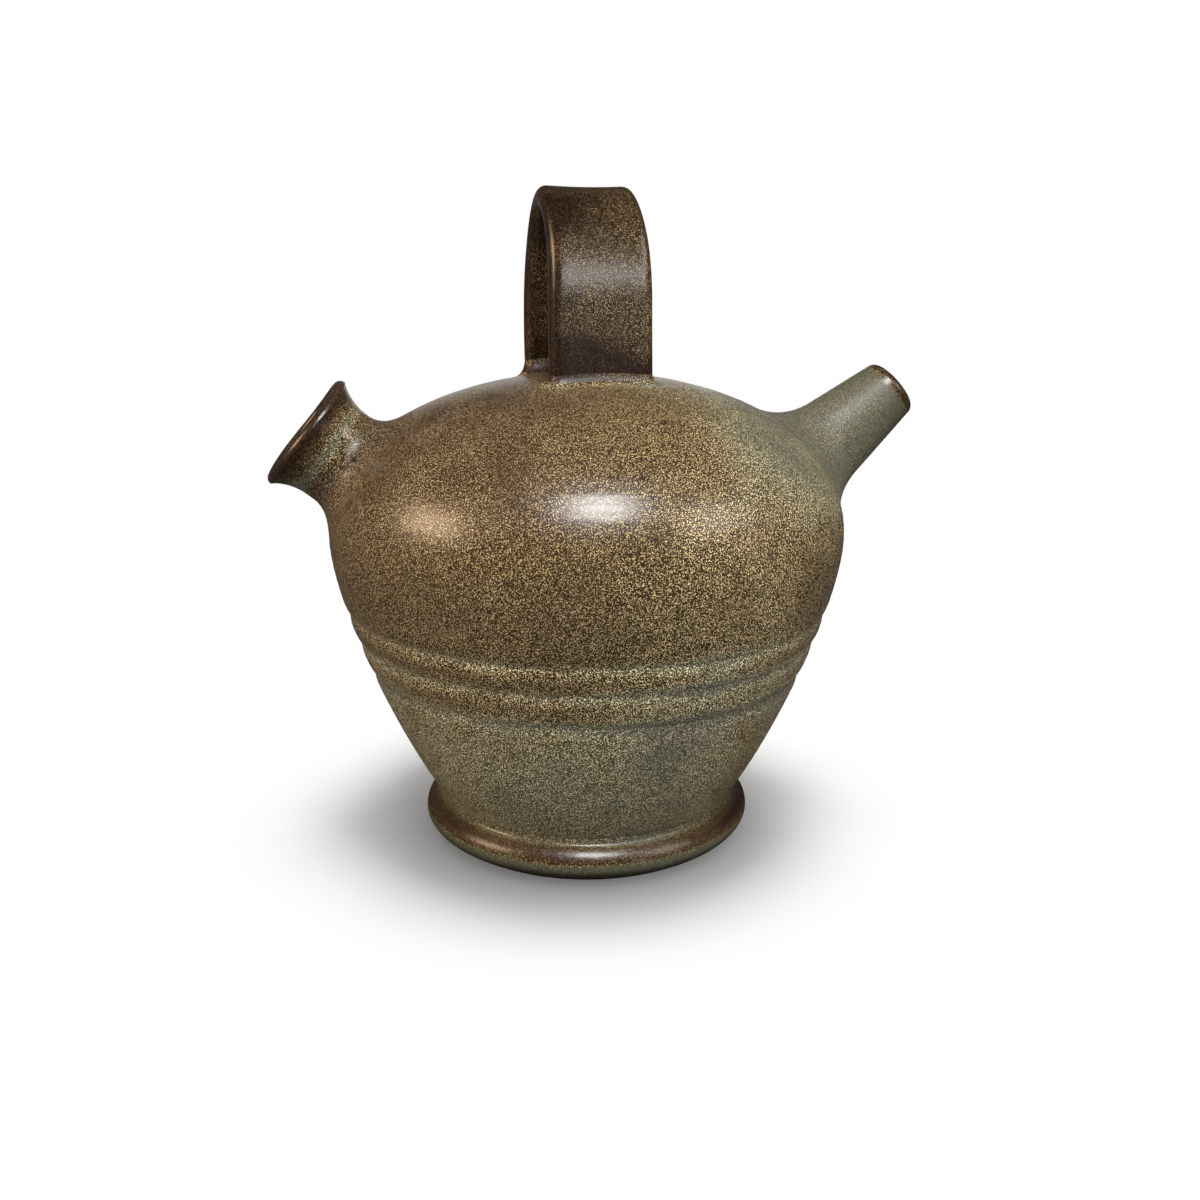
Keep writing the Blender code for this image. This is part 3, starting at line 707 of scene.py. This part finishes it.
mouth_thin = 0.10 * ease(mouth_heights, 9.0, 14.0) + 0.05 * ease(mouth_heights, 18.0, 20.5)
spout_thin = 0.75 * ease(spout_heights, 34.5, 40.5)
edge = np.abs(section[:, 0]) / (STRAP_WIDTH / 2)
strap_height = strap[..., 2]
# The strap runs thin at its edges. It is also thinned on the crest of the arch, where the glaze thins at the
# bend and painted shade darkens the top.
strap_thinning_and_shade = 0.03 + 0.20 * ease(edge, 0.80, 1.0) + 0.18 * ease(strap_height, 212, 228)
# Thinner, and so darker, down the legs towards the crown: painted shade where the strap meets the dome.
strap_thinning_and_shade = strap_thinning_and_shade + 0.30 * ease(strap_height, 196, 178)
strap_thinning_and_shade = np.concatenate([strap_thinning_and_shade.ravel(), [0, 0]])
crest = np.exp(-(((foot_line[:, 1:] - 12.0) / 2.2) ** 2)) * ease(foot_line[:, :1], 58.0, 59.5)
foot_thin = 0.10 + 0.42 * crest - 0.40 * ease(foot_line[:, 1:], 10.0, 7.5) + 0 * wheel

coat(body)
coat(foot, foot_thin.ravel())
coat(mouth, mouth_thin.ravel())
coat(spout, spout_thin.ravel())
coat(handle, strap_thinning_and_shade)
coils = [mouth_coil, spout_coil, front_coil, rear_coil]
for piece in coils:
    coat(piece)


# %% [markdown]
# ## Colours and nodes
#
# Colours are written as the hex values one reads off a screen and turned into the linear values that
# Cycles works in. One small function adds a node, so that each material below reads as a list of steps.

# %% Colour and node helpers
def linear(code):
    """Linear colour from an sRGB hex value: each channel to the power 2.4 above the short straight toe."""
    channels = np.array([int(code[k : k + 2], 16) for k in (1, 3, 5)]) / 255
    curve = np.where(channels > 0.04045, ((channels + 0.055) / 1.055) ** 2.4, channels / 12.92)
    return (*curve.tolist(), 1.0)


def add(tree, kind, inputs=None, stops=None, **settings):
    """Adds a node, sets its options, and sets or links its inputs by name or number. Stops fill a ramp."""
    node = tree.nodes.new(kind)
    for option, value in settings.items():
        setattr(node, option, value)
    for socket, value in (inputs or {}).items():
        if isinstance(value, bpy.types.NodeSocket):
            tree.links.new(value, node.inputs[socket])
        else:
            node.inputs[socket].default_value = value
    for number, (position, code) in enumerate(stops or []):
        ramp = node.color_ramp.elements
        stop = ramp[number] if number < 2 else ramp.new(position)
        stop.position, stop.color = position, linear(code)
    return node


# %% [markdown]
# ## Speckled stoneware glaze
#
# The glaze is an iron glaze fired to a satin gloss. Cream crystals stand about a millimetre apart in a
# brown glass, joined into short worms, so the eye reads a fine maze of light and dark. A noise with a
# lattice of 0.4 mm gives that spacing, and a steep ramp gives the hard edges of the crystals. Two colour
# ramps by thickness give the ground and the crystals, and slow noise shifts the thickness by a few
# hundredths, so that no two patches match. Painted dots could stand for the specks, but they would have
# to be laid over every piece, while noise in space runs on from one piece to the next.


# %% Specks and colour
CLOUD_MM, SPECK_MM, RIPPLE_MM = 16.0, 0.40, 2.6


def glaze_depth(tree, mm):
    """The thickness kept on the vertices, shifted by slow noise by up to 0.07 either way."""
    lies = add(tree, "ShaderNodeAttribute", attribute_name="glaze_thickness_and_shade").outputs["Fac"]
    slow = {"Vector": mm, "Scale": 1 / CLOUD_MM, "Detail": 3.0}
    cloud = add(tree, "ShaderNodeTexNoise", slow).outputs["Fac"]
    shift = add(tree, "ShaderNodeMapRange", {
        "Value": cloud, "From Min": 0.3, "From Max": 0.7, "To Min": -0.07, "To Max": 0.07,
    }).outputs[0]
    return add(tree, "ShaderNodeMath", {0: lies, 1: shift}, operation="ADD", use_clamp=True).outputs[0]


def glaze_colour(tree, depth, speck):
    """A ramp by thickness for the ground and one for the crystals, mixed by the specks times their share."""
    ground = add(tree, "ShaderNodeValToRGB", {"Fac": depth}, stops=[
        (0.0, "#21110a"), (1.0, "#4a4937"), (0.2, "#301c0a"), (0.35, "#291906"), (0.5, "#2b1d08"),
        (0.65, "#443f26"), (0.8, "#454333"),
    ]).outputs["Color"]
    crystal = add(tree, "ShaderNodeValToRGB", {"Fac": depth}, stops=[
        (0.0, "#5a4632"), (1.0, "#989586"), (0.2, "#ae9a74"), (0.35, "#bca678"), (0.5, "#e4cd9a"),
        (0.65, "#efe5be"), (0.8, "#bcb69e"),
    ]).outputs["Color"]
    grown = add(tree, "ShaderNodeAttribute", attribute_name="speck_share").outputs["Fac"]
    bright = add(tree, "ShaderNodeMath", {0: speck, 1: grown}, operation="MULTIPLY").outputs[0]
    mixed = {"Factor": bright, "A": ground, "B": crystal}
    return add(tree, "ShaderNodeMix", mixed, data_type="RGBA").outputs["Result"]


# %% [markdown]
# ## Pinholes and the bare base
#
# Gas bursts through the glaze in the kiln and leaves a few pinholes. They could be dents in the mesh, but
# each is only a millimetre or two wide, so a dark, dull spot at its place is enough, its darkness being
# painted shade for the pit.
# The base is wiped clean before the firing, so that it won't stick to the kiln shelf, and shows bare clay.

# %% Pinholes and bare clay
PINHOLES = [
    ((-84.3, -19.0, 147.7), 1.4), ((-88.0, -16.3, 154.6), 0.9), ((-82.7, -17.7, 74.2), 1.4),
    ((-14.0, -26.4, 187.6), 1.0),
]


def fired_colour(tree, mm, colour, ripple):
    """The glaze's colour darkened in the pinholes, by the distance from each one's middle, as painted shade
    for their pits, and changed to mottled clay in the lowest half millimetre. Also 1 where there is glaze to
    shine and 0 elsewhere."""
    whole = 1.0
    for spot, size in PINHOLES:
        off = add(tree, "ShaderNodeVectorMath", {0: mm, 1: spot}, operation="DISTANCE").outputs["Value"]
        span = {"Value": off, "From Min": 0.5 * size, "From Max": size}
        hole = add(tree, "ShaderNodeMapRange", span).outputs[0]
        whole = add(tree, "ShaderNodeMath", {0: hole, 1: whole}, operation="MULTIPLY").outputs[0]
    # Near black in each pinhole: painted shade for a pit that the mesh does not have.
    pitted = add(tree, "ShaderNodeMix", {
        "Factor": whole, "A": linear("#0e0805"), "B": colour,
    }, data_type="RGBA").outputs["Result"]
    up = add(tree, "ShaderNodeSeparateXYZ", {0: mm}).outputs["Z"]
    glazed = add(tree, "ShaderNodeMapRange", {"Value": up, "From Min": 0.3, "From Max": 0.8}).outputs[0]
    clay = add(tree, "ShaderNodeMix", {
        "Factor": ripple, "A": linear("#4a3122"), "B": linear("#bf9f7e"),
    }, data_type="RGBA").outputs["Result"]
    coated = add(tree, "ShaderNodeMix", {
        "Factor": glazed, "A": clay, "B": pitted,
    }, data_type="RGBA").outputs["Result"]
    shiny = add(tree, "ShaderNodeMath", {0: glazed, 1: whole}, operation="MULTIPLY").outputs[0]
    return coated, shiny


# %% [markdown]
# ## The finished glaze
#
# Fired stoneware glaze is glass, with glass's IOR, but its crystals and the slow ripple of its run break
# the shine to satin. A clear coat over a clay colour could stand for it. One shader with a bump of a fifth
# of a millimetre looks the same here, because the glaze hides the clay. Where it lies thickest it dulls.

# %% Glaze material
GLASS_IOR = 1.5
DULL_GLAZE, BARE_CLAY = 0.5, 0.85


def stoneware_glaze(name, gloss):
    """Satin iron glaze with cream specks, coloured by its thickness. Gloss is its roughness where it isn't
    thick: from there a soft step leads to the dull glaze, and holes and clay are duller still."""
    glaze = bpy.data.materials.new(name)
    glaze.use_nodes = True
    tree = glaze.node_tree
    shader = tree.nodes["Principled BSDF"]
    place = add(tree, "ShaderNodeTexCoord").outputs["Object"]
    mm = add(tree, "ShaderNodeVectorMath", {0: place, "Scale": 1000.0}, operation="SCALE").outputs[0]
    depth = glaze_depth(tree, mm)
    fine = {"Vector": mm, "Scale": 1 / SPECK_MM, "Detail": 1.0, "Roughness": 0.5}
    grain = add(tree, "ShaderNodeTexNoise", fine).outputs["Fac"]
    speck = add(tree, "ShaderNodeMapRange", {
        "Value": grain, "From Min": 0.553, "From Max": 0.613,
    }, interpolation_type="SMOOTHSTEP").outputs[0]
    run = {"Vector": mm, "Scale": 1 / RIPPLE_MM, "Detail": 1.0}
    ripple = add(tree, "ShaderNodeTexNoise", run).outputs["Fac"]
    coated, shiny = fired_colour(tree, mm, glaze_colour(tree, depth, speck), ripple)
    tree.links.new(coated, shader.inputs["Base Color"])

    height = add(tree, "ShaderNodeMath", {0: speck, 1: 0.12, 2: ripple}, operation="MULTIPLY_ADD").outputs[0]
    relief = add(tree, "ShaderNodeBump", {"Height": height, "Strength": 0.35, "Distance": 0.2 * MM})
    tree.links.new(relief.outputs["Normal"], shader.inputs["Normal"])
    satin = add(tree, "ShaderNodeMapRange", {
        "Value": depth, "From Min": 0.65, "From Max": 0.95, "To Min": gloss, "To Max": DULL_GLAZE,
    }, interpolation_type="SMOOTHSTEP").outputs[0]
    dulled = {"Value": shiny, "To Min": BARE_CLAY, "To Max": satin}
    rough = add(tree, "ShaderNodeMapRange", dulled).outputs[0]
    tree.links.new(rough, shader.inputs["Roughness"])
    shader.inputs["IOR"].default_value = GLASS_IOR
    print("%s: %d nodes, roughness %.2f" % (name, len(tree.nodes), gloss))
    return glaze


# The main glaze gives the brown maze of specks under a satin shine with a soft-edged highlight.
speckled_glaze = stoneware_glaze("speckled_stoneware_glaze", 0.29)
# The same glaze run thick in the joints gives a grey-green line with a duller shine.
pooled_glaze = stoneware_glaze("pooled_stoneware_glaze", 0.42)
for piece in [body, foot, mouth, spout, handle] + coils:
    piece.data.materials.clear()
    piece.data.materials.append(pooled_glaze if piece in coils else speckled_glaze)

# %% [markdown]
# ## Pieces and nodes
#
# Every finished surface stands for one CAD node, so the node is hidden but keeps its place in the
# simulation. The jug has no joint, so everything rides on its one body.

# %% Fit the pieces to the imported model
for piece, node, finish in [
    (body, "body", "speckled_glaze"), (foot, "foot_ring", "foot_glaze"),
    (mouth, "filling_mouth", "speckled_glaze"), (spout, "drinking_spout", "speckled_glaze"),
    (handle, "handle", "speckled_glaze"), (mouth_coil, "mouth_luting", "pooled_glaze"),
    (spout_coil, "spout_luting", "pooled_glaze"), (front_coil, "handle_front_luting", "pooled_glaze"),
    (rear_coil, "handle_rear_luting", "pooled_glaze"),
]:
    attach(piece, "root")
    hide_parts(node)

# %% [markdown]
# ## The floor
#
# The jug stands on a round sheet of white paper that fades into the white around it. A large plane would
# have to be lit to just the white of the background. Here the paper is matt near the jug, where it takes
# the shadow, and glows white further out, so that its edge can't be seen. In the glaze's shine it is
# dark, because a bright floor there would lay a grey veil over the lower wall.

# %% Floor
FLOOR_REACH = 0.18
SHADOW_MIDDLE, SHADOW_REACH = (-0.005, 0.006, 0.0), 0.145
rim = np.linspace(0, 2 * np.pi, 96, endpoint=False)
floor_mesh = bpy.data.meshes.new("floor")
floor_edge = FLOOR_REACH * np.stack([np.cos(rim), np.sin(rim), 0 * rim], axis=1)
floor_mesh.from_pydata(floor_edge.tolist(), [], [range(len(rim))])
floor = bpy.data.objects.new("floor", floor_mesh)
bpy.context.collection.objects.link(floor)


def ray_kinds(tree):
    """1 for the rays of each kind: from the camera, off gloss or through glass, and off a matt surface."""
    kinds = add(tree, "ShaderNodeLightPath").outputs
    bounced = {0: kinds["Is Glossy Ray"], 1: kinds["Is Transmission Ray"]}
    by_gloss = add(tree, "ShaderNodeMath", bounced, operation="MAXIMUM").outputs[0]
    return kinds["Is Camera Ray"], by_gloss, kinds["Is Diffuse Ray"]


# The paper gives the eye the white ground and the shadow, and throws soft light up under the belly.
paper = bpy.data.materials.new("white_paper")
paper.use_nodes = True
tree = paper.node_tree
tree.nodes.clear()
by_camera, by_gloss, _ = ray_kinds(tree)
bounce = add(tree, "ShaderNodeMix", {
    "Factor": by_gloss, "A": linear("#d8d8d8"), "B": linear("#383838"),
}, data_type="RGBA").outputs["Result"]
tint = add(tree, "ShaderNodeMix", {
    "Factor": by_camera, "A": bounce, "B": linear("#f0f0f0"),
}, data_type="RGBA").outputs["Result"]
matt = add(tree, "ShaderNodeBsdfDiffuse", {"Color": tint}).outputs[0]
glow = add(tree, "ShaderNodeEmission", {"Color": linear("#ffffff"), "Strength": 1.0}).outputs[0]
place = add(tree, "ShaderNodeTexCoord").outputs["Object"]
middle = {0: place, 1: SHADOW_MIDDLE}
away = add(tree, "ShaderNodeVectorMath", middle, operation="DISTANCE").outputs["Value"]
haze = add(tree, "ShaderNodeMapRange", {
    "Value": away, "From Min": 0.05, "From Max": SHADOW_REACH, "To Min": 0.1, "To Max": 1.0,
}, interpolation_type="SMOOTHSTEP").outputs[0]
part = add(tree, "ShaderNodeMath", {0: by_camera, 1: haze}, operation="MULTIPLY").outputs[0]
surface = add(tree, "ShaderNodeMixShader", {0: part, 1: matt, 2: glow}).outputs[0]
add(tree, "ShaderNodeOutputMaterial", {"Surface": surface})
floor_mesh.materials.append(paper)
print("floor: a sheet %.0f mm across" % (2 * FLOOR_REACH / MM))

# %% [markdown]
# ## The room
#
# A studio is white where the camera sees it and dark where the glaze would mirror it, because screens
# keep the walls out of the shine. Black cards could be modelled round the jug. The world's Light Path node
# does the same with no more objects: white to the camera, a soft fill for matt light, stronger from the
# white floor below, and nearly dark in the shine, apart from a strip of wall behind that lights the edges.

# %% World
BEHIND = (0.17, 0.98, 0.0)
FILL_BELOW, FILL_ABOVE, SHINE = 0.7, 0.3, 0.06
world = bpy.context.scene.world or bpy.data.worlds.new("studio")
bpy.context.scene.world = world
world.use_nodes = True
tree = world.node_tree
tree.nodes.clear()
by_camera, by_gloss, by_matt = ray_kinds(tree)
way = add(tree, "ShaderNodeTexCoord").outputs["Generated"]
turned = {0: way, 1: BEHIND}
behind = add(tree, "ShaderNodeVectorMath", turned, operation="DOT_PRODUCT").outputs["Value"]
sector = {"Value": behind, "From Min": 0.93, "From Max": 0.99}
wall_seen = add(tree, "ShaderNodeMapRange", sector).outputs[0]
by_gloss = add(tree, "ShaderNodeMath", {0: by_gloss, 1: wall_seen}, operation="MULTIPLY").outputs[0]
white = add(tree, "ShaderNodeMath", {0: by_camera, 1: by_gloss}, operation="MAXIMUM").outputs[0]
upward = add(tree, "ShaderNodeSeparateXYZ", {0: way}).outputs["Z"]
room = add(tree, "ShaderNodeMapRange", {
    "Value": upward, "From Min": -0.05, "From Max": 0.05, "To Min": FILL_BELOW, "To Max": FILL_ABOVE,
}).outputs[0]
dim = add(tree, "ShaderNodeMapRange", {"Value": by_matt, "To Min": SHINE, "To Max": room}).outputs[0]
level = add(tree, "ShaderNodeMapRange", {"Value": white, "To Min": dim, "To Max": 1.0}).outputs[0]
sky = add(tree, "ShaderNodeBackground", {"Color": linear("#ffffff"), "Strength": level}).outputs[0]
add(tree, "ShaderNodeOutputWorld", {"Surface": sky})
print("room: fill %.1f from below, %.1f from above" % (FILL_BELOW, FILL_ABOVE))

# %% [markdown]
# ## Lamps
#
# A large panel overhead throws the soft shadow, a smaller one in front gives the highlight on the
# shoulder, one low on the right gives the band on the strap, and two at the sides give the warm patches
# beside the highlight. Spots would give hard little highlights, and area lamps give the soft-edged ones of
# a studio's boxes. Each lamp lights only what it is there for, through a collection of receivers, as
# screens see to in a studio.

# %% Soft panels
LAMP_DISTANCE = 1.0
BELLY_MIDDLE = (0.0, 0.0, 0.11)
pot = [body, foot, mouth, spout] + coils


def lit(name, pieces):
    """A collection of the objects that a lamp lights."""
    group = bpy.data.collections.new(name)
    for piece in pieces:
        group.objects.link(piece)
    return group


pot_light, strap_light = lit("lit_pot", pot), lit("lit_strap", [handle])
jug_light, floor_light = lit("lit_jug", pot + [handle]), lit("lit_floor", [floor])


def panel(name, receives, azimuth, elevation, width, height, power, code="#ffffff"):
    """A rectangular lamp aimed at the belly, at an azimuth from the front towards the spout, that lights
    only the objects of one collection."""
    lamp = bpy.data.lights.new(name, "AREA")
    lamp.shape, lamp.size, lamp.size_y = "RECTANGLE", width, height
    lamp.energy, lamp.color = power, linear(code)[:3]
    turned, raised = np.radians(azimuth), np.radians(elevation)
    aim = np.array([np.sin(turned) * np.cos(raised), -np.cos(turned) * np.cos(raised), np.sin(raised)])
    lamp_object = bpy.data.objects.new(name, lamp)
    lamp_object.location = BELLY_MIDDLE + aim * LAMP_DISTANCE
    lamp_object.rotation_euler = (np.pi / 2 - raised, 0.0, turned)
    lamp_object.visible_camera = False
    lamp_object.light_linking.receiver_collection = receives
    bpy.context.collection.objects.link(lamp_object)
    print("%s: %.1f W at azimuth %.0f, elevation %.0f" % (name, power, azimuth, elevation))


panel("top_panel", floor_light, 40.0, 87.5, 0.5, 0.5, 14.0)
panel("front_panel", pot_light, -2.0, 54.0, 0.34, 0.21, 10.0)
panel("strap_panel", strap_light, 24.0, 22.0, 0.34, 0.18, 2.2)
panel("mouth_side_panel", jug_light, -81.0, 25.0, 0.42, 0.30, 5.2, "#ffdcb4")
panel("spout_side_panel", jug_light, 50.0, 34.0, 0.44, 0.40, 3.3, "#fff0e0")

# %% [markdown]
# ## Camera
#
# A jug is photographed from a little above, so that its shoulder shows. A longer lens from further off
# would flatten it. This camera stands close, as in the photo, a little to the mouth's side, and looks
# down. The view transform is Standard, so that colours come out about as they are written.

# %% Camera
LOOKS_DOWN, LOOKS_RIGHT = np.radians(15.43), np.radians(10.0)
camera_data = bpy.data.cameras.new("camera")
camera_data.sensor_width, camera_data.lens, camera_data.shift_x = 36.0, 35.715, 0.0114
camera = bpy.data.objects.new("camera", camera_data)
camera.location = (-0.0764, -0.4333, 0.2101)
camera.rotation_euler = (np.pi / 2 - LOOKS_DOWN, 0.0, -LOOKS_RIGHT)
bpy.context.collection.objects.link(camera)
bpy.context.scene.camera = camera
bpy.context.scene.view_settings.view_transform = "Standard"
print("camera: %.0f mm lens, %.0f mm above the table" % (camera_data.lens, camera.location.z / MM))
